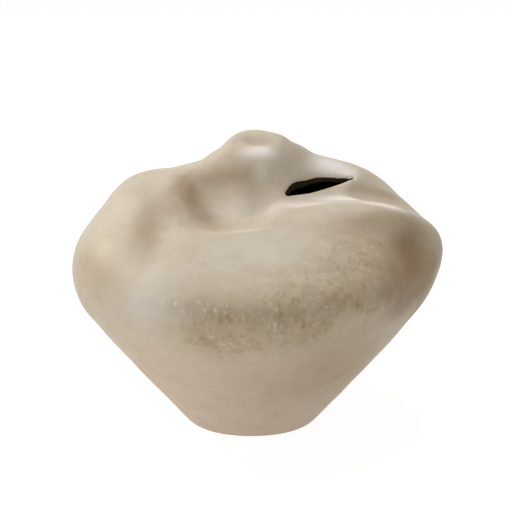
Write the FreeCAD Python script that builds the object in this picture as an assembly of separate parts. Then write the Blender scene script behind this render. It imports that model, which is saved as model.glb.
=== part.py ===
import FreeCAD, Part

import math
import os
from collections import namedtuple

# Pillow vase: a closed, paddled clay form on a narrow foot, with a slot for stems in a fold of its top.
# Millimetres. +X is to the viewer's right, +Y is away from the viewer, +Z is up.
# Every height is above the surface that the vase stands on. Until the last step X and Y are
# counted from the foot's axis.

# Thrown form, before it was paddled
FOOT_RADIUS = 46.5
BELLY_RADIUS = 139.5
BELLY_HEIGHT = 128.0
BELLY_ARC_RADIUS = 57.0
FLANK_ANGLE = 38.0
DOME_RISE = 73.0
DOME_POWER = 2.4
LEAN = 4.0
LEAN_FROM = 90.0
LEAN_TO = 140.0

# Clay
WALL = 6.0
BASE_THICKNESS = 8.0
SEAM_HEIGHT = 112.0
BUTTON_RADIUS = 13.0
BUTTON_CENTRE = (3.0, 2.0)

# Foot, with a felt disc in its shallow recess that stands a little proud of the foot ring
FOOT_RING_WIDTH = 6.0
FOOT_BEVEL = 1.0
FOOT_GAP = 0.5
FELT_THICKNESS = 2.0
FELT_CLEARANCE = 1.0

# The belly reaches further right than left of the foot, and the part's origin is below its middle
FOOT_X = -3.0

# Point inside the vase that all facets and presses are measured from
HEART = (0.0, 0.0, 105.0)

# A facet is a broad face paddled into the clay: the compass direction it faces (0 is +X, 90 is +Y),
# its tilt above the horizon, its distance from the heart, the radius of its crown,
# and how widely it blends into its surroundings.
Facet = namedtuple("Facet", "facing tilt distance crown blend")

FACETS = {
    "front face": Facet(-90, 71.3, 85.6, 360, 24),
    "left shoulder": Facet(180, 47, 124, 400, 12),
    "right shoulder": Facet(20, 48, 130, 400, 18),
}

# A press is one push of the hand, an ellipse that runs from start to end and half_width to
# each side. Its depth is inward, so a raised place has a negative depth. A higher edge is a steeper rim.
Press = namedtuple("Press", "start end half_width depth edge")

BODY_PRESSES = {
    "skirt of the nub": Press((-40, 4, 200), (44, 4, 200), 34, -23, 1.0),
    "flank right of the nub": Press((24, 9, 214), (44, 12, 206), 18, -6, 1.0),
    "facet right of the nub": Press((30, -8, 203), (44, 6, 203), 12, 4, 1.3),
    "left plateau": Press((-108, 4, 186), (-60, 0, 190), 26, -8, 1.0),
    "hollow at the back left": Press((-64, 36, 196), (-32, 44, 200), 26, 7, 1.0),
    "thumb bowl": Press((-40, -37, 178), (16, -37, 181), 32, 13, 2.5),
    "front of the bowl": Press((-42, -52, 171), (-18, -68, 165), 15, 3, 1.8),
    "rim left of the bowl": Press((-60, -42, 180), (-54, -2, 192), 10, -4, 1.0),
    "trough in front of the nub": Press((-4, -40, 176), (44, -26, 181), 22, 6, 1.0),
    "shelf in front of the slot": Press((6, -26, 181), (66, -14, 184), 25, 8, 1.0),
    "groove of the slot": Press((24, -16, 184), (86, 8, 184), 10, 3.5, 1.3),
    "ridge behind the slot": Press((40, 14, 197), (98, 32, 189), 15, -7, 1.0),
    "shelf at the right": Press((74, -6, 180), (118, -14, 172), 9, 8, 1.2),
    "crest at the right": Press((34, -48, 178), (137, -32, 165), 13, -12, 1.0),
    "left valley": Press((-66, -48, 182), (-76, -90, 152), 12, 5, 1.0),
    "fold at the right": Press((142, -42, 160), (124, -88, 126), 16, 12, 1.2),
}

SKIN_PRESSES = {
    "nub": Press((-19, 0, 210), (29, 0, 210), 19, -9, 2.4),
    "fingertip dimple": Press((-8, -2, 216), (14, -2, 216), 5.5, 4.5, 1.2),
    "knob at the slot's end": Press((71, 8, 190), (87, 4, 190), 8, -4, 1.0),
    "dent under the crest": Press((46, -54, 173), (76, -46, 174), 6, 2, 1.0),
}

# Outline of the slot in plan: its middle line, and half of its width at each point of that line
SLOT_LINE = [(26.4, -20.8), (31.2, -16.4), (38, -10.8), (48, -4.4), (60, 2.2), (69, 5.4), (77.3, 7.8)]
SLOT_HALF_WIDTHS = [1.4, 2.9, 4.4, 4.4, 3.6, 2.6, 0.6]
SLOT_LOW = 160.0
SLOT_HIGH = 215.0

# Rows and columns of the surfaces
COLUMNS = 120
FLANK_ROWS = 20
ARC_ROWS = 10
DOME_ROWS = 44
SMALLEST_RING = 6.0
CAP_POINTS = 21
CAP_REACH = 20.0

# How a press fades from its middle, and the lowest cosine to its middle at which it is still felt
PRESS_FADE = 0.7
PRESS_HORIZON = 0.25


def add(a, b):
    return (a[0] + b[0], a[1] + b[1], a[2] + b[2])


def subtract(a, b):
    return (a[0] - b[0], a[1] - b[1], a[2] - b[2])


def times(a, factor):
    return (a[0] * factor, a[1] * factor, a[2] * factor)


def dot(a, b):
    return a[0] * b[0] + a[1] * b[1] + a[2] * b[2]


def cross(a, b):
    return (a[1] * b[2] - a[2] * b[1], a[2] * b[0] - a[0] * b[2], a[0] * b[1] - a[1] * b[0])


def unit(a):
    return times(a, 1.0 / math.sqrt(dot(a, a)))


def softer_minimum(a, b, blend):
    overlap = max(blend - abs(a - b), 0.0) / blend
    return min(a, b) - overlap ** 3 * blend / 6.0


def dome_height(radius):
    rise = max(1.0 - (radius / BELLY_RADIUS) ** DOME_POWER, 0.0) ** (1.0 / DOME_POWER)
    return BELLY_HEIGHT + DOME_RISE * rise


def thrown_profile():
    """Radius and height of the thrown form, from the foot over the belly to the smallest ring."""
    angle = math.radians(FLANK_ANGLE)
    join = (BELLY_RADIUS - BELLY_ARC_RADIUS * (1.0 - math.cos(angle)),
            BELLY_HEIGHT - BELLY_ARC_RADIUS * math.sin(angle))
    inward = (-math.cos(angle), math.sin(angle))
    chord = (FOOT_RADIUS - join[0], -join[1])
    radius = (chord[0] ** 2 + chord[1] ** 2) / (2.0 * (chord[0] * inward[0] + chord[1] * inward[1]))
    centre = (join[0] + radius * inward[0], join[1] + radius * inward[1])
    start = math.atan2(-centre[1], FOOT_RADIUS - centre[0])
    points = []
    for row in range(FLANK_ROWS):
        turn = start + (-angle - start) * row / FLANK_ROWS
        points.append((centre[0] + radius * math.cos(turn), centre[1] + radius * math.sin(turn)))
    for row in range(ARC_ROWS):
        turn = -angle + angle * row / ARC_ROWS
        points.append((BELLY_RADIUS - BELLY_ARC_RADIUS * (1.0 - math.cos(turn)),
                       BELLY_HEIGHT + BELLY_ARC_RADIUS * math.sin(turn)))
    for row in range(DOME_ROWS + 1):
        turn = math.acos(SMALLEST_RING / BELLY_RADIUS) * row / DOME_ROWS
        across, up = math.cos(turn), math.sin(turn)
        reach = (across ** DOME_POWER + up ** DOME_POWER) ** (-1.0 / DOME_POWER)
        points.append((BELLY_RADIUS * across * reach, BELLY_HEIGHT + DOME_RISE * up * reach))
    return points


def lean_at(height):
    share = min(max((height - LEAN_FROM) / (LEAN_TO - LEAN_FROM), 0.0), 1.0)
    return LEAN * share * share * (3.0 - 2.0 * share)


def facet_distance(direction, facet):
    """Distance from the heart to a facet along a direction."""
    facing = math.radians(facet.facing)
    tilt = math.radians(facet.tilt)
    normal = (math.cos(tilt) * math.cos(facing), math.cos(tilt) * math.sin(facing), math.sin(tilt))
    centre = times(normal, facet.distance - facet.crown)
    along = dot(direction, centre)
    return along + math.sqrt(max(along ** 2 - dot(centre, centre) + facet.crown ** 2, 0.0))


def press_depth(direction, press):
    """Depth of a press along a direction from the heart."""
    middle = subtract(times(add(press.start, press.end), 0.5), HEART)
    distance = math.sqrt(dot(middle, middle))
    towards = unit(middle)
    facing = dot(direction, towards)
    if facing < PRESS_HORIZON:
        return 0.0
    half_line = times(subtract(press.end, press.start), 0.5)
    half_line = subtract(half_line, times(towards, dot(half_line, towards)))
    half_length = math.sqrt(dot(half_line, half_line))
    lengthwise = unit(half_line)
    sideways = cross(towards, lengthwise)
    along = distance * dot(direction, lengthwise) / facing / half_length
    across = distance * dot(direction, sideways) / facing / press.half_width
    return press.depth * math.exp(-PRESS_FADE * (along ** 2 + across ** 2) ** press.edge)


def paddled(radius, turn, height, thickness):
    """A point of the thrown form, moved to where facets and presses leave it, thickness below the skin."""
    point = (radius * math.cos(turn) + lean_at(height), radius * math.sin(turn), height)
    ray = subtract(point, HEART)
    reach = math.sqrt(dot(ray, ray))
    direction = unit(ray)
    for facet in FACETS.values():
        reach = softer_minimum(reach, facet_distance(direction, facet), facet.blend)
    for press in BODY_PRESSES.values():
        reach -= press_depth(direction, press)
    if thickness == 0.0:
        for press in SKIN_PRESSES.values():
            reach -= press_depth(direction, press)
    return add(HEART, times(direction, reach - thickness))


def sharpened(points, wrap):
    """Poles whose uniform cubic curve passes very near the given points."""
    count = len(points)
    poles = []
    for index, point in enumerate(points):
        if not wrap and index in (0, count - 1):
            poles.append(point)
            continue
        before = points[index - 1]
        after = points[(index + 1) % count]
        bend = subtract(add(before, after), times(point, 2.0))
        poles.append(subtract(point, times(bend, 1.0 / 6.0)))
    return poles


def spline_surface(rows, wrap):
    """Cubic surface near a grid of points; each row closes on itself where wrap is set."""
    rows = [sharpened(row, wrap) for row in rows]
    columns = [sharpened([row[i] for row in rows], False) for i in range(len(rows[0]))]
    poles = [[FreeCAD.Vector(*point) for point in column] for column in columns]
    across_knots = len(columns) + 1 if wrap else len(columns) - 2
    along_knots = len(rows) - 2
    across_mults = [1] * across_knots
    if not wrap:
        across_mults[0] = across_mults[-1] = 4
    along_mults = [1] * along_knots
    along_mults[0] = along_mults[-1] = 4
    surface = Part.BSplineSurface()
    surface.buildFromPolesMultsKnots(poles, across_mults, along_mults,
                                     list(range(across_knots)), list(range(along_knots)),
                                     wrap, False, 3, 3)
    return surface


def wall_rows(thickness):
    rows = []
    for radius, height in thrown_profile():
        turns = [2.0 * math.pi * column / COLUMNS for column in range(COLUMNS)]
        rows.append([paddled(radius, turn, height, thickness) for turn in turns])
    return rows


def closed_wall(outer_rows, inner_rows):
    """Solid between an outer and an inner grid, closed by a ruled rim at both ends."""
    outer = spline_surface(outer_rows, True)
    inner = spline_surface(inner_rows, True)
    first, last = outer.bounds()[2], outer.bounds()[3]
    rims = []
    for end in (first, last):
        rims.append(Part.makeRuledSurface(outer.vIso(end).toShape(), inner.vIso(end).toShape()))
    shell = Part.makeShell([outer.toShape(), inner.toShape()] + rims)
    shell.sewShape()
    solid = Part.makeSolid(Part.Shell(shell.Faces))
    if solid.Volume < 0.0:
        solid.reverse()
    return solid


def cap_surface(thickness):
    """The top of the form on a square grid around the nub."""
    rows = []
    for j in range(CAP_POINTS):
        y = CAP_REACH * (2.0 * j / (CAP_POINTS - 1) - 1.0)
        row = []
        for i in range(CAP_POINTS):
            x = CAP_REACH * (2.0 * i / (CAP_POINTS - 1) - 1.0)
            radius = math.hypot(x, y)
            row.append(paddled(radius, math.atan2(y, x), dome_height(radius), thickness))
        rows.append(row)
    return spline_surface(rows, False)


def button_rod():
    """Cylinder in which the closing button lies."""
    low = FreeCAD.Vector(BUTTON_CENTRE[0], BUTTON_CENTRE[1], BELLY_HEIGHT)
    return Part.makeCylinder(BUTTON_RADIUS, BELLY_HEIGHT, low)


def slot_prism():
    """Upright prism on the slot's outline."""
    left_side = []
    right_side = []
    for index, (x, y) in enumerate(SLOT_LINE):
        before = SLOT_LINE[max(index - 1, 0)]
        after = SLOT_LINE[min(index + 1, len(SLOT_LINE) - 1)]
        length = math.hypot(after[0] - before[0], after[1] - before[1])
        normal = (-(after[1] - before[1]) / length, (after[0] - before[0]) / length)
        half = SLOT_HALF_WIDTHS[index]
        left_side.append(FreeCAD.Vector(x + normal[0] * half, y + normal[1] * half, SLOT_LOW))
        right_side.append(FreeCAD.Vector(x - normal[0] * half, y - normal[1] * half, SLOT_LOW))
    outline = Part.BSplineCurve()
    outline.interpolate(left_side + right_side[::-1], PeriodicFlag=True)
    face = Part.Face(Part.Wire(outline.toShape()))
    return face.extrude(FreeCAD.Vector(0, 0, SLOT_HIGH - SLOT_LOW))


def flank_radius(height):
    """Radius of the thrown form's flank at a height."""
    rows = thrown_profile()
    for (low_radius, low), (high_radius, high) in zip(rows, rows[1:]):
        if low <= height <= high:
            return low_radius + (high_radius - low_radius) * (height - low) / (high - low)
    raise ValueError("height is outside the flank")


def make_base_slab():
    recess_radius = FOOT_RADIUS - FOOT_RING_WIDTH
    outline = [
        (0.0, FELT_THICKNESS),
        (recess_radius, FELT_THICKNESS),
        (recess_radius, FOOT_GAP),
        (FOOT_RADIUS - FOOT_BEVEL, FOOT_GAP),
        (flank_radius(FOOT_GAP + FOOT_BEVEL), FOOT_GAP + FOOT_BEVEL),
        (flank_radius(BASE_THICKNESS), BASE_THICKNESS),
        (0.0, BASE_THICKNESS),
    ]
    corners = [FreeCAD.Vector(radius, 0.0, height) for radius, height in outline]
    section = Part.Face(Part.makePolygon(corners + corners[:1]))
    return section.revolve(FreeCAD.Vector(0, 0, 0), FreeCAD.Vector(0, 0, 1), 360.0)


def make_lower_wall(outer_rows, inner_rows, seam_row):
    wall = closed_wall(outer_rows[:seam_row + 1], inner_rows[:seam_row + 1])
    reach = 2.0 * BELLY_RADIUS
    corner = FreeCAD.Vector(-reach, -reach, BASE_THICKNESS - reach)
    below_base = Part.makeBox(2.0 * reach, 2.0 * reach, reach, corner)
    return wall.cut(below_base)


def make_pillow_top(outer_rows, inner_rows, seam_row):
    wall = closed_wall(outer_rows[seam_row:], inner_rows[seam_row:])
    return wall.cut(button_rod()).cut(slot_prism())


def make_closing_button():
    outer = cap_surface(0.0)
    inner = cap_surface(WALL)
    sides = []
    for iso in ("uIso", "vIso"):
        for end in (outer.bounds()[0], outer.bounds()[1]):
            edges = [getattr(surface, iso)(end).toShape() for surface in (outer, inner)]
            sides.append(Part.makeRuledSurface(edges[0], edges[1]))
    shell = Part.makeShell([outer.toShape(), inner.toShape()] + sides)
    shell.sewShape()
    block = Part.makeSolid(Part.Shell(shell.Faces))
    if block.Volume < 0.0:
        block.reverse()
    return block.common(button_rod())


def make_felt_disc():
    return Part.makeCylinder(FOOT_RADIUS - FOOT_RING_WIDTH - FELT_CLEARANCE, FELT_THICKNESS)


def main():
    outer_rows = wall_rows(0.0)
    inner_rows = wall_rows(WALL)
    heights = [height for radius, height in thrown_profile()]
    seam_row = min(range(len(heights)), key=lambda row: abs(heights[row] - SEAM_HEIGHT))
    parts = {
        "base_slab": make_base_slab(),
        "lower_wall": make_lower_wall(outer_rows, inner_rows, seam_row),
        "pillow_top": make_pillow_top(outer_rows, inner_rows, seam_row),
        "closing_button": make_closing_button(),
        "felt_disc": make_felt_disc(),
    }
    os.makedirs("parts", exist_ok=True)
    for name, shape in parts.items():
        shape.translate(FreeCAD.Vector(FOOT_X, 0.0, 0.0))
        shape.exportStep("parts/%s.step" % name)
        print(name, shape.ShapeType, len(shape.Solids), shape.isValid(), round(shape.Volume), shape.BoundBox)


main()
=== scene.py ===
import math
from collections import namedtuple

import bmesh
import bpy
import numpy
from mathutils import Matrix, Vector, noise


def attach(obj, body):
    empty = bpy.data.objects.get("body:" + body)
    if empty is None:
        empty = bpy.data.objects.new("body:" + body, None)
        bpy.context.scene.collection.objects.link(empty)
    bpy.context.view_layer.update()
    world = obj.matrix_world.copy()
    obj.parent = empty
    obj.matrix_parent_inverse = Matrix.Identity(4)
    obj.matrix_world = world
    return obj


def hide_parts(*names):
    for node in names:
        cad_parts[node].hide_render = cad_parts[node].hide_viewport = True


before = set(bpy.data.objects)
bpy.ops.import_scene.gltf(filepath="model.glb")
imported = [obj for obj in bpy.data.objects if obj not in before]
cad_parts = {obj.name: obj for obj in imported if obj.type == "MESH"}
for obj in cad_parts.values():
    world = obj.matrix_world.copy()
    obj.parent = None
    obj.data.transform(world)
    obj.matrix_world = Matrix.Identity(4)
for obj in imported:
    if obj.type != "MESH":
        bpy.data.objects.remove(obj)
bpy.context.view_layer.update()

# Pillow vase. The script works in metres; the forms below are given in millimetres, as the vase's
# source gives them, counted from the foot's axis and from the surface that the vase stands on.
MM = 0.001

# Thrown form, before it was paddled
FOOT_RADIUS = 46.5
BELLY_RADIUS = 139.5
BELLY_HEIGHT = 128.0
BELLY_ARC_RADIUS = 57.0
FLANK_ANGLE = 38.0
DOME_RISE = 73.0
DOME_POWER = 2.4
LEAN = 4.0
LEAN_FROM = 90.0
LEAN_TO = 140.0

# Clay
WALL = 6.0
BASE_THICKNESS = 8.0
GLAZE_LINE = 1.8
GLAZE_THICKNESS = 0.3
FOOT_GAP = 0.5
FOOT_RING_WIDTH = 6.0
FELT_THICKNESS = 2.0
LIP_RADIUS = 2.5

# Bare foot: its bevel, how far the bevel's middle stands off the side,
# and how much wider the clay is at the edge of the glaze than at the bevel
FOOT_BEVEL = 0.8
FOOT_EASE = 0.1
FOOT_SPREAD = 0.7

# The foot's axis is left of the middle of the belly, which the frame's origin is below
FOOT_X = -3.0

# Point inside the vase that all facets and presses are measured from
HEART = numpy.array((0.0, 0.0, 105.0))

# A facet is a broad face paddled into the clay: the compass direction it faces (0 is +X, 90 is +Y),
# its tilt above the horizon, its distance from the heart, the radius of its crown,
# and how widely it blends into its surroundings.
Facet = namedtuple("Facet", "facing tilt distance crown blend")

FACETS = {
    "front face": Facet(-90, 71.3, 85.6, 360, 24),
    "left shoulder": Facet(180, 47, 124, 400, 12),
    "right shoulder": Facet(20, 48, 130, 400, 18),
}

# A press is one push of the hand, an ellipse that runs from start to end and half_width to
# each side. Its depth is inward, so a raised place has a negative depth. A higher edge is a steeper rim.
Press = namedtuple("Press", "start end half_width depth edge")

BODY_PRESSES = {
    "skirt of the nub": Press((-40, 4, 200), (44, 4, 200), 34, -23, 1.0),
    "flank right of the nub": Press((24, 9, 214), (44, 12, 206), 18, -6, 1.0),
    "facet right of the nub": Press((30, -8, 203), (44, 6, 203), 12, 4, 1.3),
    "left plateau": Press((-108, 4, 186), (-60, 0, 190), 26, -8, 1.0),
    "hollow at the back left": Press((-64, 36, 196), (-32, 44, 200), 26, 7, 1.0),
    "thumb bowl": Press((-40, -37, 178), (16, -37, 181), 32, 13, 2.5),
    "front of the bowl": Press((-42, -52, 171), (-18, -68, 165), 15, 3, 1.8),
    "rim left of the bowl": Press((-60, -42, 180), (-54, -2, 192), 10, -4, 1.0),
    "trough in front of the nub": Press((-4, -40, 176), (44, -26, 181), 22, 6, 1.0),
    "shelf in front of the slot": Press((6, -26, 181), (66, -14, 184), 25, 8, 1.0),
    "groove of the slot": Press((24, -16, 184), (86, 8, 184), 10, 3.5, 1.3),
    "ridge behind the slot": Press((40, 14, 197), (98, 32, 189), 15, -7, 1.0),
    "shelf at the right": Press((74, -6, 180), (118, -14, 172), 9, 8, 1.2),
    "crest at the right": Press((34, -48, 178), (137, -32, 165), 13, -12, 1.0),
    "left valley": Press((-66, -48, 182), (-76, -90, 152), 12, 5, 1.0),
    "fold at the right": Press((142, -42, 160), (124, -88, 126), 16, 12, 1.2),
}

SKIN_PRESSES = {
    "nub": Press((-19, 0, 210), (29, 0, 210), 19, -9, 2.4),
    "fingertip dimple": Press((-8, -2, 216), (14, -2, 216), 5.5, 4.5, 1.2),
    "knob at the slot's end": Press((71, 8, 190), (87, 4, 190), 8, -4, 1.0),
    "dent under the crest": Press((46, -54, 173), (76, -46, 174), 6, 2, 1.0),
}

# How a press fades from its middle, and the lowest cosine to its middle at which it is still felt
PRESS_FADE = 0.7
PRESS_HORIZON = 0.25

# Outline of the slot in plan: its middle line, and half of its width at each point of that line
SLOT_LINE = [(26.4, -20.8), (31.2, -16.4), (38, -10.8), (48, -4.4), (60, 2.2), (69, 5.4), (77.3, 7.8)]
SLOT_HALF_WIDTHS = [1.4, 2.9, 4.4, 4.4, 3.6, 2.6, 0.6]
SLOT_STEPS = 8
SLOT_LOW = 158.0
SLOT_HIGH = 215.0

# Surface grid: columns and rows of the skin, how many of its rows make one row of the inner wall,
# how far from the slot the skin is made finer, and how near points are merged
COLUMNS = 320
FLANK_ROWS = 56
ARC_ROWS = 24
DOME_ROWS = 150
INNER_SHARE = 4
REFINED_REACH = 5.0
MERGE_DISTANCE = 1e-4

# Angles, in degrees, above which an edge stays sharp
BODY_CREASE = 50.0
FOOT_CREASE = 40.0

# Unevenness of the hand-smoothed skin: size and height of the marks, and the finer marks laid over them
HAND_MARK_SIZE = 26.0
HAND_MARK_HEIGHT = 0.5
FINE_MARK_SCALE = 2.3
FINE_MARK_SHARE = 0.5

# Camera: elevation in degrees, distance and aim in millimetres from the foot's axis
CAMERA_ELEVATION = 13.5
CAMERA_DISTANCE = 1600.0
CAMERA_AIM = (3.4, 0.0, 129.0)
MM_PER_PIXEL = 0.76
FRAME_PIXELS = 512
SENSOR_MM = 36.0

# Lamps: place and aim in metres, size of the disc in metres, power in watts
Lamp = namedtuple("Lamp", "place aim size power")

LAMPS = {
    "key_softbox": Lamp((-0.90, 0.35, 1.10), (0.0, 0.0, 0.15), 0.4, 6.1),
    "top_softbox": Lamp((0.10, 0.15, 1.60), (0.0, 0.0, 0.15), 0.5, 9.3),
    "left_softbox": Lamp((-1.8, -1.05, 0.2), (0.0, 0.0, 0.08), 1.6, 13.0),
}

# Room: the world's light, and the floor, whose glow shows more to the camera than to the vase
WORLD_LIGHT = 0.35
FLOOR_HALF_SIZE = 6.0
FLOOR_TONE = 0.85
FLOOR_GLOW = 1.25
GLOW_SHARE_UNSEEN = 0.35
GLOW_SHARE_SEEN = 0.72
WHITE = (1.0, 1.0, 1.0, 1.0)


def softer_minimum(a, b, blend):
    """The lower of two distances, with the corner between them rounded over blend."""
    overlap = numpy.maximum(blend - numpy.abs(a - b), 0.0) / blend
    return numpy.minimum(a, b) - overlap ** 3 * blend / 6.0


def thrown_profile(rows_share):
    """Radius and height of the thrown form, from the foot over the belly to the top."""
    angle = math.radians(FLANK_ANGLE)
    join = (BELLY_RADIUS - BELLY_ARC_RADIUS * (1.0 - math.cos(angle)),
            BELLY_HEIGHT - BELLY_ARC_RADIUS * math.sin(angle))
    inward = (-math.cos(angle), math.sin(angle))
    chord = (FOOT_RADIUS - join[0], -join[1])
    radius = (chord[0] ** 2 + chord[1] ** 2) / (2.0 * (chord[0] * inward[0] + chord[1] * inward[1]))
    centre = (join[0] + radius * inward[0], join[1] + radius * inward[1])
    start = math.atan2(-centre[1], FOOT_RADIUS - centre[0])
    flank_rows, arc_rows, dome_rows = (n // rows_share for n in (FLANK_ROWS, ARC_ROWS, DOME_ROWS))
    points = []
    for row in range(flank_rows):
        turn = start + (-angle - start) * row / flank_rows
        points.append((centre[0] + radius * math.cos(turn), centre[1] + radius * math.sin(turn)))
    for row in range(arc_rows):
        turn = -angle + angle * row / arc_rows
        points.append((BELLY_RADIUS - BELLY_ARC_RADIUS * (1.0 - math.cos(turn)),
                       BELLY_HEIGHT + BELLY_ARC_RADIUS * math.sin(turn)))
    for row in range(dome_rows + 1):
        turn = 0.5 * math.pi * row / dome_rows
        across, up = max(math.cos(turn), 0.0), math.sin(turn)
        reach = (across ** DOME_POWER + up ** DOME_POWER) ** (-1.0 / DOME_POWER)
        points.append((BELLY_RADIUS * across * reach, BELLY_HEIGHT + DOME_RISE * up * reach))
    return points


def facet_distance(directions, facet):
    """Distance from the heart to a facet along each direction."""
    facing = math.radians(facet.facing)
    tilt = math.radians(facet.tilt)
    level = math.cos(tilt)
    normal = numpy.array((level * math.cos(facing), level * math.sin(facing), math.sin(tilt)))
    centre = normal * (facet.distance - facet.crown)
    along = directions @ centre
    return along + numpy.sqrt(numpy.maximum(along ** 2 - centre @ centre + facet.crown ** 2, 0.0))


def press_depth(directions, press):
    """Depth of a press along each direction from the heart."""
    start = numpy.array(press.start, dtype=float)
    end = numpy.array(press.end, dtype=float)
    middle = 0.5 * (start + end) - HEART
    distance = numpy.linalg.norm(middle)
    towards = middle / distance
    half_line = 0.5 * (end - start)
    half_line -= towards * (half_line @ towards)
    half_length = numpy.linalg.norm(half_line)
    lengthwise = half_line / half_length
    sideways = numpy.cross(towards, lengthwise)
    facing = directions @ towards
    near = facing > PRESS_HORIZON
    safe = numpy.where(near, facing, 1.0)
    along = distance * (directions @ lengthwise) / safe / half_length
    across = distance * (directions @ sideways) / safe / press.half_width
    fade = numpy.exp(-PRESS_FADE * (along ** 2 + across ** 2) ** press.edge)
    return numpy.where(near, press.depth * fade, 0.0)


def hand_marks(directions):
    """Slight rises and falls that smoothing by hand leaves."""
    scale = BELLY_RADIUS / HAND_MARK_SIZE
    heights = []
    for direction in directions:
        broad = noise.noise(Vector(direction) * scale)
        fine = noise.noise(Vector(direction) * scale * FINE_MARK_SCALE)
        heights.append(broad + FINE_MARK_SHARE * fine)
    return HAND_MARK_HEIGHT * numpy.array(heights)


def paddled(points, thickness):
    """Points of the thrown form, moved to where facets and presses leave them, thickness below the skin."""
    points = points.copy()
    share = numpy.clip((points[:, 2] - LEAN_FROM) / (LEAN_TO - LEAN_FROM), 0.0, 1.0)
    points[:, 0] += LEAN * share * share * (3.0 - 2.0 * share)
    rays = points - HEART
    reach = numpy.linalg.norm(rays, axis=1)
    directions = rays / reach[:, None]
    for facet in FACETS.values():
        reach = softer_minimum(reach, facet_distance(directions, facet), facet.blend)
    presses = list(BODY_PRESSES.values())
    if thickness == 0.0:
        presses += SKIN_PRESSES.values()
        fade = numpy.clip(points[:, 2] / BASE_THICKNESS - 1.0, 0.0, 1.0)
        reach -= (hand_marks(directions) + HAND_MARK_HEIGHT) * fade
    for press in presses:
        reach -= press_depth(directions, press)
    return HEART + directions * (reach - thickness)[:, None]


def slot_middle_line():
    """Points and half widths along the slot, on a smooth line through its given points."""
    given = [Vector((x, y, half)) for (x, y), half in zip(SLOT_LINE, SLOT_HALF_WIDTHS)]
    padded = [given[0] * 2 - given[1]] + given + [given[-1] * 2 - given[-2]]
    line = []
    for before, start, end, after in zip(padded, padded[1:], padded[2:], padded[3:]):
        for step in range(SLOT_STEPS):
            t = step / SLOT_STEPS
            line.append(0.5 * (2 * start + (end - before) * t
                               + (2 * before - 5 * start + 4 * end - after) * t ** 2
                               + (3 * start - before - 3 * end + after) * t ** 3))
    line.append(given[-1])
    return line


def distance_from_slot(points, line):
    """Distance in plan from the slot's outline, negative inside it."""
    nearest = numpy.full(len(points), numpy.inf)
    for start, end in zip(line, line[1:]):
        run = numpy.array((end.x - start.x, end.y - start.y))
        offset = points[:, :2] - numpy.array((start.x, start.y))
        share = numpy.clip((offset @ run) / (run @ run), 0.0, 1.0)
        away = numpy.linalg.norm(offset - share[:, None] * run, axis=1)
        nearest = numpy.minimum(nearest, away - (start.z + (end.z - start.z) * share))
    return nearest


def rolled_into_slot(points, line):
    """The skin rolls down over a round lip at the slot's edge."""
    into_lip = numpy.clip(LIP_RADIUS - distance_from_slot(points, line), 0.0, LIP_RADIUS)
    points[:, 2] -= LIP_RADIUS - numpy.sqrt(LIP_RADIUS ** 2 - into_lip ** 2)
    return points


def set_points(mesh, points):
    """Moves the vertices of a bmesh to points in millimetres from the foot's axis."""
    for vertex, point in zip(mesh.verts, points):
        vertex.co = ((point[0] + FOOT_X) * MM, point[1] * MM, point[2] * MM)


def spun_profile(profile):
    """Bmesh of a profile turned once round the axis, still in millimetres."""
    mesh = bmesh.new()
    chain = [mesh.verts.new((radius, 0.0, height)) for radius, height in profile]
    edges = [mesh.edges.new(pair) for pair in zip(chain, chain[1:])]
    bmesh.ops.spin(mesh, geom=chain + edges, cent=(0, 0, 0), axis=(0, 0, 1), angle=2.0 * math.pi,
                   steps=COLUMNS, use_merge=True)
    bmesh.ops.remove_doubles(mesh, verts=mesh.verts, dist=MERGE_DISTANCE)
    return mesh


def coordinates(mesh):
    return numpy.array([vertex.co[:] for vertex in mesh.verts])


def make_object(name, mesh, *materials):
    data = bpy.data.meshes.new(name)
    mesh.to_mesh(data)
    mesh.free()
    made = bpy.data.objects.new(name, data)
    bpy.context.scene.collection.objects.link(made)
    for material in materials:
        data.materials.append(material)
    return made


def slot_cutter(line, materials):
    """Upright prism on the slot's outline."""
    left_side, right_side = [], []
    for index, point in enumerate(line):
        along = line[min(index + 1, len(line) - 1)] - line[max(index - 1, 0)]
        normal = Vector((-along.y, along.x, 0.0)).normalized()
        left_side.append(point + normal * point.z)
        right_side.append(point - normal * point.z)
    first = math.atan2(line[1].y - line[0].y, line[1].x - line[0].x)
    round_end = []
    for step in range(1, SLOT_STEPS):
        turn = first + 0.5 * math.pi + math.pi * step / SLOT_STEPS
        round_end.append(line[0] + Vector((math.cos(turn), math.sin(turn), 0.0)) * line[0].z)
    outline = left_side[::-1] + round_end + right_side
    mesh = bmesh.new()
    corners = [mesh.verts.new(((p.x + FOOT_X) * MM, p.y * MM, SLOT_LOW * MM)) for p in outline]
    floor = mesh.faces.new(corners)
    raised = bmesh.ops.extrude_face_region(mesh, geom=[floor])
    bmesh.ops.translate(mesh, verts=[v for v in raised["geom"] if isinstance(v, bmesh.types.BMVert)],
                        vec=(0, 0, (SLOT_HIGH - SLOT_LOW) * MM))
    bmesh.ops.recalc_face_normals(mesh, faces=mesh.faces)
    for face in mesh.faces:
        face.material_index = 1
    return make_object("slot_cutter", mesh, *materials)


def refine_near_slot(mesh, line):
    """Halves the faces of the skin around the slot, and rolls its edge."""
    def near_slot():
        points = coordinates(mesh) / MM - numpy.array((FOOT_X, 0.0, 0.0))
        distance = distance_from_slot(points, line)
        return points, (numpy.abs(distance) < REFINED_REACH) & (points[:, 2] > SLOT_LOW)

    near = near_slot()[1]
    edges = [edge for edge in mesh.edges if near[edge.verts[0].index] and near[edge.verts[1].index]]
    bmesh.ops.subdivide_edges(mesh, edges=edges, cuts=1, use_grid_fill=True)
    mesh.verts.index_update()
    points, near = near_slot()
    points[near] = rolled_into_slot(points[near], line)
    set_points(mesh, points)


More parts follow.
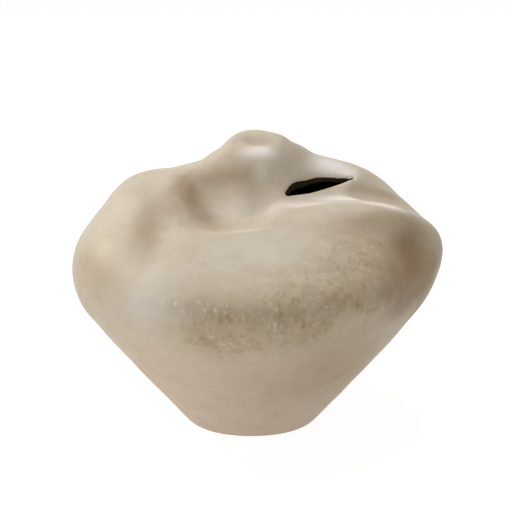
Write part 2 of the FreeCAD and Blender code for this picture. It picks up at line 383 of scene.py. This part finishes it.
def outer_skin(line):
    """The glazed skin, closed below by the underside of the glaze."""
    flank = [point for point in thrown_profile(1) if point[1] > GLAZE_LINE + GLAZE_THICKNESS]
    slope = (flank[0][0] - FOOT_RADIUS) / flank[0][1]
    edge_radius = FOOT_RADIUS + slope * GLAZE_LINE
    profile = [(0.0, GLAZE_LINE), (edge_radius - GLAZE_THICKNESS, GLAZE_LINE)] + flank
    mesh = spun_profile(profile)
    points = coordinates(mesh)
    moving = points[:, 2] > GLAZE_LINE + 0.5 * GLAZE_THICKNESS
    points[moving] = paddled(points[moving], 0.0)
    set_points(mesh, points)
    refine_near_slot(mesh, line)
    bmesh.ops.recalc_face_normals(mesh, faces=mesh.faces)
    return mesh


def inner_wall():
    """The wall of the hollow, with a flat floor, facing into the hollow."""
    mesh = spun_profile(thrown_profile(INNER_SHARE))
    points = paddled(coordinates(mesh), WALL)
    points[:, 2] = numpy.maximum(points[:, 2], BASE_THICKNESS)
    set_points(mesh, points)
    bmesh.ops.contextual_create(mesh, geom=[edge for edge in mesh.edges if edge.is_boundary])
    bmesh.ops.recalc_face_normals(mesh, faces=mesh.faces)
    bmesh.ops.reverse_faces(mesh, faces=mesh.faces)
    for face in mesh.faces:
        face.material_index = 1
    return mesh


def glazed_shell(line):
    """Outer skin and inner wall in one bmesh."""
    shell = outer_skin(line)
    inner = inner_wall()
    carried = bpy.data.meshes.new("inner_wall")
    inner.to_mesh(carried)
    inner.free()
    shell.from_mesh(carried)
    bpy.data.meshes.remove(carried)
    return shell


def cut_slot(body, line):
    cutter = slot_cutter(line, body.data.materials)
    cut = body.modifiers.new("slot", "BOOLEAN")
    cut.operation = "DIFFERENCE"
    cut.solver = "EXACT"
    cut.object = cutter
    bpy.context.view_layer.update()
    finished = bpy.data.meshes.new_from_object(body.evaluated_get(bpy.context.evaluated_depsgraph_get()))
    body.modifiers.clear()
    body.data = finished
    bpy.data.objects.remove(cutter)


def make_glazed_body(glaze, inside):
    line = slot_middle_line()
    body = make_object("glazed_body", glazed_shell(line), glaze, inside)
    cut_slot(body, line)
    body.data.polygons.foreach_set("use_smooth", [True] * len(body.data.polygons))
    body.data.set_sharp_from_angle(angle=math.radians(BODY_CREASE))
    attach(body, "root")
    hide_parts("lower_wall", "pillow_top", "closing_button")
    return body


def make_foot(clay):
    """Bare foot ring and the underside of the base, up to the edge of the glaze."""
    ring_radius = FOOT_RADIUS - FOOT_RING_WIDTH
    profile = [
        (0.0, GLAZE_LINE),
        (FOOT_RADIUS + FOOT_SPREAD, GLAZE_LINE),
        (FOOT_RADIUS - FOOT_EASE, FOOT_GAP + 0.5 * FOOT_BEVEL),
        (FOOT_RADIUS - FOOT_BEVEL, FOOT_GAP),
        (ring_radius + FOOT_BEVEL, FOOT_GAP),
        (ring_radius + FOOT_EASE, FOOT_GAP + 0.5 * FOOT_BEVEL),
        (ring_radius, FELT_THICKNESS),
        (0.0, FELT_THICKNESS),
    ]
    mesh = spun_profile(profile)
    set_points(mesh, coordinates(mesh))
    bmesh.ops.recalc_face_normals(mesh, faces=mesh.faces)
    foot = make_object("bare_foot", mesh, clay)
    foot.data.polygons.foreach_set("use_smooth", [True] * len(foot.data.polygons))
    foot.data.set_sharp_from_angle(angle=math.radians(FOOT_CREASE))
    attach(foot, "root")
    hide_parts("base_slab")
    return foot


def dress_felt_disc(felt):
    """The felt disc is the frame's own node, in its felt material."""
    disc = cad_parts["felt_disc"]
    disc.data.materials.clear()
    disc.data.materials.append(felt)


def new_material(name):
    material = bpy.data.materials.new(name)
    material.use_nodes = True
    tree = material.node_tree
    shader = next(node for node in tree.nodes if node.type == "BSDF_PRINCIPLED")
    return material, tree, shader


def add_node(tree, kind, inputs=(), **settings):
    """A node of that kind, with its settings, and with its inputs set or linked by name or number."""
    node = tree.nodes.new(kind)
    for key, value in settings.items():
        setattr(node, key, value)
    for key, value in dict(inputs).items():
        if isinstance(value, bpy.types.NodeSocket):
            tree.links.new(value, node.inputs[key])
        else:
            node.inputs[key].default_value = value
    return node


def object_place(tree):
    return add_node(tree, "ShaderNodeTexCoord").outputs["Object"]


# Values between which the noise of soft marks rises
NOISE_LOW = 0.35
NOISE_HIGH = 0.65


def noise_share(tree, place, size, low=NOISE_LOW, high=NOISE_HIGH, detail=4.0, roughness=0.55):
    """Noise with marks about size metres across, stretched so that low becomes 0 and high becomes 1."""
    pattern = add_node(tree, "ShaderNodeTexNoise",
                       {"Vector": place, "Scale": 1.0 / size, "Detail": detail, "Roughness": roughness})
    spread = add_node(tree, "ShaderNodeMapRange",
                      {"Value": pattern.outputs["Fac"], "From Min": low, "From Max": high},
                      interpolation_type="SMOOTHSTEP")
    return spread.outputs["Result"]


def share_between(tree, value, low, high):
    spread = add_node(tree, "ShaderNodeMapRange", {"Value": value, "From Min": low, "From Max": high},
                      interpolation_type="SMOOTHSTEP")
    return spread.outputs["Result"]


def product(tree, a, b):
    return add_node(tree, "ShaderNodeMath", {0: a, 1: b}, operation="MULTIPLY").outputs[0]


def larger_of(tree, a, b):
    return add_node(tree, "ShaderNodeMath", {0: a, 1: b}, operation="MAXIMUM").outputs[0]


def blended(tree, share, a, b):
    """Colour a where share is 0, colour b where it is 1."""
    mix = add_node(tree, "ShaderNodeMix", {"Factor": share}, data_type="RGBA")
    for index, colour in ((6, a), (7, b)):
        if isinstance(colour, bpy.types.NodeSocket):
            tree.links.new(colour, mix.inputs[index])
        else:
            mix.inputs[index].default_value = (*colour, 1.0)
    return mix.outputs[2]


def drift(tree, place, size, reach):
    """A vector up to about reach long that wanders over marks of that size."""
    pattern = add_node(tree, "ShaderNodeTexNoise", {"Vector": place, "Scale": 1.0 / size, "Detail": 3.0})
    centred = add_node(tree, "ShaderNodeVectorMath", {0: pattern.outputs["Color"], 1: (0.5, 0.5, 0.5)},
                       operation="SUBTRACT")
    return add_node(tree, "ShaderNodeVectorMath", {0: centred.outputs[0], "Scale": 2.0 * reach},
                    operation="SCALE").outputs[0]


def sum_of(tree, a, b):
    return add_node(tree, "ShaderNodeVectorMath", {0: a, 1: b}).outputs[0]


# Value of a patch's fading at which it is whole: a lower one gives a wider core
PATCH_CORE = 0.8


def patch(tree, place, centre, radii, sway=(0.0, 0.0, 0.0)):
    """1 in the middle of an ellipsoid, fading to 0 at its edge, which sway moves by a share of the radii."""
    scale = tuple(1.0 / (radius * MM) for radius in radii)
    moved = tuple(-((c + shift) * MM) * s for c, shift, s in zip(centre, (FOOT_X, 0.0, 0.0), scale))
    mapping = add_node(tree, "ShaderNodeMapping", {"Vector": place, "Location": moved, "Scale": scale})
    sphere = add_node(tree, "ShaderNodeTexGradient", {"Vector": sum_of(tree, mapping.outputs[0], sway)},
                      gradient_type="QUADRATIC_SPHERE")
    return share_between(tree, sphere.outputs["Fac"], 0.0, PATCH_CORE)


# Colours, as linear red, green and blue
SAND = (0.520, 0.430, 0.315)
PALE_SAND = (0.560, 0.480, 0.370)
# Paler, greyer sand of the front face, partly painted sheen
SHEEN_GREYED_SAND = (0.530, 0.465, 0.355)
WARM_OCHRE = (0.540, 0.395, 0.220)
PINKISH_BEIGE = (0.572, 0.452, 0.326)
# Paler beige near the foot: painted light bounced up from the floor
BOUNCE_LIT_BEIGE = (0.640, 0.510, 0.390)
BROKEN_BROWN = (0.385, 0.266, 0.128)
OLIVE_BROWN = (0.240, 0.166, 0.072)
# Brown of pooled glaze and of painted shade
POOLED_AND_SHADE_BROWN = (0.262, 0.160, 0.070)
PALE_FLECK = (0.760, 0.690, 0.570)
# Pale of thin glaze and of painted highlights
THIN_AND_HIGHLIGHT_PALE = (0.900, 0.830, 0.770)
GLINT = (0.900, 0.860, 0.780)
# Near-black of the inside and of the slot's cut faces: painted shade
INSIDE_SHADE_BROWN = (0.022, 0.015, 0.007)
INSIDE_SHADE_MOTTLE = (0.035, 0.024, 0.011)
BARE_CLAY = (0.500, 0.360, 0.240)
BARE_CLAY_PALE = (0.580, 0.440, 0.320)
FELT_GREY = (0.180, 0.150, 0.120)
FELT_GREY_PALE = (0.306, 0.255, 0.204)

# Painted shade in the bowl, the valleys, the folds, round the nub and on the cone's right side, partly also
# glaze pooled darker there, as middle, radii and strength
POOLS_AND_PAINTED_SHADE = [
    ((117, -55, 143), (50, 82, 80), 1.00),
    ((118, -84, 124), (62, 72, 64), 0.95),
    ((-47, -28, 187), (34, 56, 50), 0.95),
    ((-36, -48, 173), (46, 36, 34), 0.50),
    ((-20, -14, 194), (60, 26, 22), 0.50),
    ((-8, -34, 184), (58, 34, 26), 0.25),
    ((-76, -60, 165), (30, 66, 66), 0.62),
    ((-84, -20, 186), (34, 26, 18), 0.25),
    ((-68, -35, 178), (34, 40, 34), 0.30),
    ((100, 0, 180), (46, 28, 16), 0.80),
    ((42, 4, 204), (32, 28, 24), 0.20),
    ((1, 0, 217), (32, 18, 13), 0.42),
    ((-9, -22, 200), (28, 18, 15), 0.40),
    ((8, -30, 187), (16, 14, 18), 0.40),
    ((72, -62, 167), (72, 36, 26), 0.40),
    ((66, -84, 66), (130, 100, 84), 0.38),
]

# Painted highlights on the rims, ridges, the bowl's floor and the left of the belly, partly also glaze lying
# thin and pale there, as middle, radii and strength
THIN_GLAZE_AND_HIGHLIGHTS = [
    ((5, -13, 212), (40, 13, 11), 0.85),
    ((7, -20, 202), (14, 16, 22), 0.35),
    ((-2, -38, 178), (48, 32, 24), 0.50),
    ((64, 11, 197), (60, 26, 22), 0.95),
    ((40, -32, 176), (52, 15, 13), 0.50),
    ((70, -22, 179), (56, 15, 13), 0.75),
    ((98, -36, 176), (58, 13, 15), 0.75),
    ((-14, -70, 167), (46, 9, 9), 0.50),
    ((-72, -114, 122), (70, 50, 34), 0.26),
]

# Places where the glaze broke into brown, as middle and radii, and the strength of that brown
BREAKS = [
    ((-10, -132, 107), (104, 90, 60)),
    ((34, -128, 113), (104, 90, 64)),
    ((68, -110, 129), (86, 80, 66)),
    ((84, -86, 147), (76, 70, 60)),
]

BREAK_STRENGTH = 0.55

# Broad patches of tone, as middle, radii and strength: the front face, greyed and paler partly as painted
# sheen, the warm left belly, and the line of small glints above the broken glaze
FRONT_FACE = ((0, -90, 150), (110, 90, 50), 0.80)
LEFT_BELLY = ((-112, -66, 134), (70, 96, 66), 0.45)
GLINT_LINE = ((-36, -128, 124), (84, 32, 12), 0.42)

# Tones of the lower wall, the lower one paler as painted light bounced from the floor: heights in metres
# where each begins and is full, its strength and its colour
LOWER_TONE_AND_BOUNCE_LIGHT = [
    (0.104, 0.070, 0.8, PINKISH_BEIGE),
    (0.060, 0.010, 0.8, BOUNCE_LIT_BEIGE),
]

# Speckles in the broken glaze: their size in metres, the noise values between which they come up,
# the noise's detail and roughness, their strength and colour, and whether they run down into hairs
Speckle = namedtuple("Speckle", "size low high detail roughness strength colour runs")

SPECKLES = [
    Speckle(0.0100, 0.42, 0.70, 5.0, 0.65, 0.45, OLIVE_BROWN, False),
    Speckle(0.0040, 0.52, 0.72, 2.0, 0.55, 0.55, OLIVE_BROWN, True),
    Speckle(0.0036, 0.58, 0.76, 3.0, 0.55, 0.50, PALE_FLECK, True),
]

# Sizes of the glaze's other marks, in metres, and their strength
CLOUD_SIZE = 0.060
MOTTLE_SIZE = 0.0120
MOTTLE_STRENGTH = 0.12
GLINT_SIZE = 0.0026
SHEEN_SIZE = 0.020
SMOOTHEST = 0.50
ROUGHEST = 0.60

# How the edges of patches wander, as a share of their radii, and how hairs bend and stretch downwards
SWAY_SIZE = 0.030
SWAY_REACH = 0.30
BEND_SIZE = 0.010
BEND_REACH = 0.003
HAIR_STRETCH = 0.40

# Relief of the glaze: fine grain and soft ripple, with sizes and depths in metres
GRAIN_SIZE = 1.0 / 600.0
GRAIN_DEPTH = 0.0006
GRAIN_STRENGTH = 0.15
RIPPLE_SIZE = 1.0 / 90.0
RIPPLE_DEPTH = 0.0015
RIPPLE_STRENGTH = 0.25

# Mottling of the painted shade inside, bare clay and felt: the sizes and depths of their marks in metres
INSIDE_MOTTLE_SIZE = 0.015
CLAY_CLOUD_SIZE = 0.012
CLAY_GRAIN_SIZE = 1.0 / 1400.0
CLAY_GRAIN_DEPTH = 0.0004
GROG_SIZE = 0.0012
GROG_STRENGTH = 0.6
FIBRE_SIZE = 0.0009
FIBRE_DEPTH = 0.0005


def tinted(tree, share, strength, ground, colour):
    """Ground with colour laid over it where share is 1, at that strength."""
    return blended(tree, product(tree, share, strength), ground, colour)


def glaze_ground_and_painted_light(tree, place, sway):
    """Sand colour with clouds, and the broad tones of the front face, partly painted sheen, the lower wall,
    paler near the foot as painted floor bounce, and the left belly.
    """
    height = add_node(tree, "ShaderNodeSeparateXYZ", {"Vector": place}).outputs["Z"]
    colour = blended(tree, noise_share(tree, place, CLOUD_SIZE), SAND, PALE_SAND)
    middle, radii, strength = FRONT_FACE
    colour = tinted(tree, patch(tree, place, middle, radii, sway), strength, colour, SHEEN_GREYED_SAND)
    for begins, full, strength, tone in LOWER_TONE_AND_BOUNCE_LIGHT:
        colour = tinted(tree, share_between(tree, height, begins, full), strength, colour, tone)
    middle, radii, strength = LEFT_BELLY
    return tinted(tree, patch(tree, place, middle, radii, sway), strength, colour, WARM_OCHRE)


def broken_share(tree, place, sway):
    """1 in the middle of each place where the glaze broke, 0 away from them."""
    joined = 0.0
    for middle, radii in BREAKS:
        joined = larger_of(tree, joined, patch(tree, place, middle, radii, sway))
    return joined


def broken_glaze(tree, place, hairs, sway, ground):
    """Brown where the glaze broke, with its speckles."""
    broken = broken_share(tree, place, sway)
    colour = tinted(tree, broken, BREAK_STRENGTH, ground, BROKEN_BROWN)
    for speckle in SPECKLES:
        marks = noise_share(tree, hairs if speckle.runs else place, speckle.size, speckle.low, speckle.high,
                            detail=speckle.detail, roughness=speckle.roughness)
        colour = tinted(tree, product(tree, broken, marks), speckle.strength, colour, speckle.colour)
    return colour


def pools_shade_and_highlights(tree, place, sway, ground):
    """Darker where the glaze pooled and where shade is painted, then paler where the glaze is thin and where
    highlights are painted.
    """
    colour = ground
    for middle, radii, strength in POOLS_AND_PAINTED_SHADE:
        colour = tinted(tree, patch(tree, place, middle, radii, sway), strength, colour, POOLED_AND_SHADE_BROWN)
    for middle, radii, strength in THIN_GLAZE_AND_HIGHLIGHTS:
        colour = tinted(tree, patch(tree, place, middle, radii), strength, colour, THIN_AND_HIGHLIGHT_PALE)
    return colour


def glinting(tree, place, hairs, sway, ground):
    middle, radii, strength = GLINT_LINE
    marks = noise_share(tree, hairs, GLINT_SIZE, 0.55, 0.72, detail=1.0)
    glints = product(tree, patch(tree, place, middle, radii, sway), marks)
    return tinted(tree, glints, strength, ground, GLINT)


def glaze_relief(tree, place):
    """Normals of the fine grain, and of the soft ripple over it."""
    grain = add_node(tree, "ShaderNodeTexNoise", {"Vector": place, "Scale": 1.0 / GRAIN_SIZE,
                                                  "Detail": 3.0, "Roughness": 0.6}).outputs["Fac"]
    fine = add_node(tree, "ShaderNodeBump", {"Height": grain, "Strength": GRAIN_STRENGTH,
                                             "Distance": GRAIN_DEPTH})
    ripple = add_node(tree, "ShaderNodeTexNoise", {"Vector": place, "Scale": 1.0 / RIPPLE_SIZE,
                                                   "Detail": 2.0, "Roughness": 0.5}).outputs["Fac"]
    soft = add_node(tree, "ShaderNodeBump", {"Height": ripple, "Strength": RIPPLE_STRENGTH,
                                             "Distance": RIPPLE_DEPTH, "Normal": fine.outputs[0]})
    return soft.outputs[0]


def sand_glaze():
    material, tree, shader = new_material("sand_glaze")
    place = object_place(tree)
    sway = drift(tree, place, SWAY_SIZE, SWAY_REACH)
    bent = sum_of(tree, place, drift(tree, place, BEND_SIZE, BEND_REACH))
    hairs = add_node(tree, "ShaderNodeMapping",
                     {"Vector": bent, "Scale": (1.0, 1.0, HAIR_STRETCH)}).outputs[0]

    colour = glaze_ground_and_painted_light(tree, place, sway)
    colour = broken_glaze(tree, place, hairs, sway, colour)
    mottling = noise_share(tree, place, MOTTLE_SIZE, 0.45, 0.70, detail=5.0, roughness=0.65)
    colour = tinted(tree, mottling, MOTTLE_STRENGTH, colour, OLIVE_BROWN)
    colour = pools_shade_and_highlights(tree, place, sway, colour)
    colour = glinting(tree, place, hairs, sway, colour)
    tree.links.new(colour, shader.inputs["Base Color"])

    sheen = add_node(tree, "ShaderNodeMapRange", {"Value": noise_share(tree, place, SHEEN_SIZE, 0.30, 0.70),
                                                  "To Min": SMOOTHEST, "To Max": ROUGHEST})
    tree.links.new(sheen.outputs["Result"], shader.inputs["Roughness"])
    shader.inputs["IOR"].default_value = 1.55
    tree.links.new(glaze_relief(tree, place), shader.inputs["Normal"])
    return material


# Near-black inside of the hollow and the slot's cut faces: painted shade
def painted_shade_inside():
    material, tree, shader = new_material("inside_painted_shade")
    place = object_place(tree)
    colour = blended(tree, noise_share(tree, place, INSIDE_MOTTLE_SIZE), INSIDE_SHADE_BROWN, INSIDE_SHADE_MOTTLE)
    tree.links.new(colour, shader.inputs["Base Color"])
    shader.inputs["Roughness"].default_value = 0.8
    shader.inputs["Specular IOR Level"].default_value = 0.1
    return material


def bare_stoneware():
    material, tree, shader = new_material("bare_stoneware")
    place = object_place(tree)
    colour = blended(tree, noise_share(tree, place, CLAY_CLOUD_SIZE), BARE_CLAY, BARE_CLAY_PALE)
    grog = noise_share(tree, place, GROG_SIZE, 0.62, 0.70, detail=2.0)
    colour = tinted(tree, grog, GROG_STRENGTH, colour, OLIVE_BROWN)
    tree.links.new(colour, shader.inputs["Base Color"])
    shader.inputs["Roughness"].default_value = 0.85
    grain = add_node(tree, "ShaderNodeTexNoise",
                     {"Vector": place, "Scale": 1.0 / CLAY_GRAIN_SIZE, "Detail": 4.0}).outputs["Fac"]
    bump = add_node(tree, "ShaderNodeBump", {"Height": grain, "Strength": 0.4, "Distance": CLAY_GRAIN_DEPTH})
    tree.links.new(bump.outputs[0], shader.inputs["Normal"])
    return material


def pressed_felt():
    material, tree, shader = new_material("pressed_felt")
    place = object_place(tree)
    fibres = noise_share(tree, place, FIBRE_SIZE, detail=6.0, roughness=0.75)
    colour = blended(tree, fibres, FELT_GREY, FELT_GREY_PALE)
    tree.links.new(colour, shader.inputs["Base Color"])
    shader.inputs["Roughness"].default_value = 0.95
    bump = add_node(tree, "ShaderNodeBump", {"Height": fibres, "Strength": 0.6, "Distance": FIBRE_DEPTH})
    tree.links.new(bump.outputs[0], shader.inputs["Normal"])
    return material


def studio_floor():
    """Pale floor that shows white to the camera and keeps a light shadow."""
    material, tree, shader = new_material("studio_floor")
    shader.inputs["Base Color"].default_value = (FLOOR_TONE, FLOOR_TONE, FLOOR_TONE, 1.0)
    shader.inputs["Roughness"].default_value = 0.9
    shader.inputs["Specular IOR Level"].default_value = 0.0
    glow = add_node(tree, "ShaderNodeEmission", {"Color": WHITE, "Strength": FLOOR_GLOW})
    path = add_node(tree, "ShaderNodeLightPath")
    seen = add_node(tree, "ShaderNodeMapRange",
                    {"Value": path.outputs["Is Camera Ray"],
                     "To Min": GLOW_SHARE_UNSEEN, "To Max": GLOW_SHARE_SEEN}).outputs["Result"]
    mix = add_node(tree, "ShaderNodeMixShader", {0: seen, 1: shader.outputs[0], 2: glow.outputs[0]})
    output = next(node for node in tree.nodes if node.type == "OUTPUT_MATERIAL")
    tree.links.new(mix.outputs[0], output.inputs["Surface"])
    return material


def make_floor():
    mesh = bmesh.new()
    bmesh.ops.create_grid(mesh, x_segments=1, y_segments=1, size=FLOOR_HALF_SIZE)
    floor = make_object("studio_floor", mesh, studio_floor())


def make_world():
    world = bpy.data.worlds.new("studio")
    bpy.context.scene.world = world
    world.use_nodes = True
    tree = world.node_tree
    lit = tree.nodes["Background"]
    lit.inputs["Color"].default_value = WHITE
    lit.inputs["Strength"].default_value = WORLD_LIGHT
    seen = add_node(tree, "ShaderNodeBackground", {"Color": WHITE, "Strength": 1.0})
    path = add_node(tree, "ShaderNodeLightPath")
    clear = larger_of(tree, path.outputs["Is Camera Ray"], path.outputs["Is Glossy Ray"])
    clear = larger_of(tree, clear, path.outputs["Is Transmission Ray"])
    mix = add_node(tree, "ShaderNodeMixShader", {0: clear, 1: lit.outputs[0], 2: seen.outputs[0]})
    tree.links.new(mix.outputs[0], tree.nodes["World Output"].inputs["Surface"])


def make_lamps():
    for name, softbox in LAMPS.items():
        lamp = bpy.data.lights.new(name, "AREA")
        lamp.shape = "DISK"
        lamp.size = softbox.size
        lamp.energy = softbox.power
        holder = bpy.data.objects.new(name, lamp)
        holder.location = softbox.place
        towards = Vector(softbox.aim) - Vector(softbox.place)
        holder.rotation_euler = towards.to_track_quat("-Z", "Y").to_euler()
        bpy.context.scene.collection.objects.link(holder)


def make_camera():
    tilt = math.radians(CAMERA_ELEVATION)
    aim = Vector(((CAMERA_AIM[0] + FOOT_X) * MM, CAMERA_AIM[1] * MM, CAMERA_AIM[2] * MM))
    camera = bpy.data.cameras.new("camera")
    camera.sensor_width = SENSOR_MM
    camera.lens = SENSOR_MM * CAMERA_DISTANCE / (MM_PER_PIXEL * FRAME_PIXELS)
    holder = bpy.data.objects.new("camera", camera)
    back = Vector((0.0, -math.cos(tilt), math.sin(tilt)))
    holder.location = aim + back * CAMERA_DISTANCE * MM
    holder.rotation_euler = (-back).to_track_quat("-Z", "Y").to_euler()
    bpy.context.scene.collection.objects.link(holder)
    bpy.context.scene.camera = holder


bpy.context.scene.view_settings.view_transform = "Standard"
make_glazed_body(sand_glaze(), painted_shade_inside())
make_foot(bare_stoneware())
dress_felt_disc(pressed_felt())
make_floor()
make_world()
make_lamps()
make_camera()
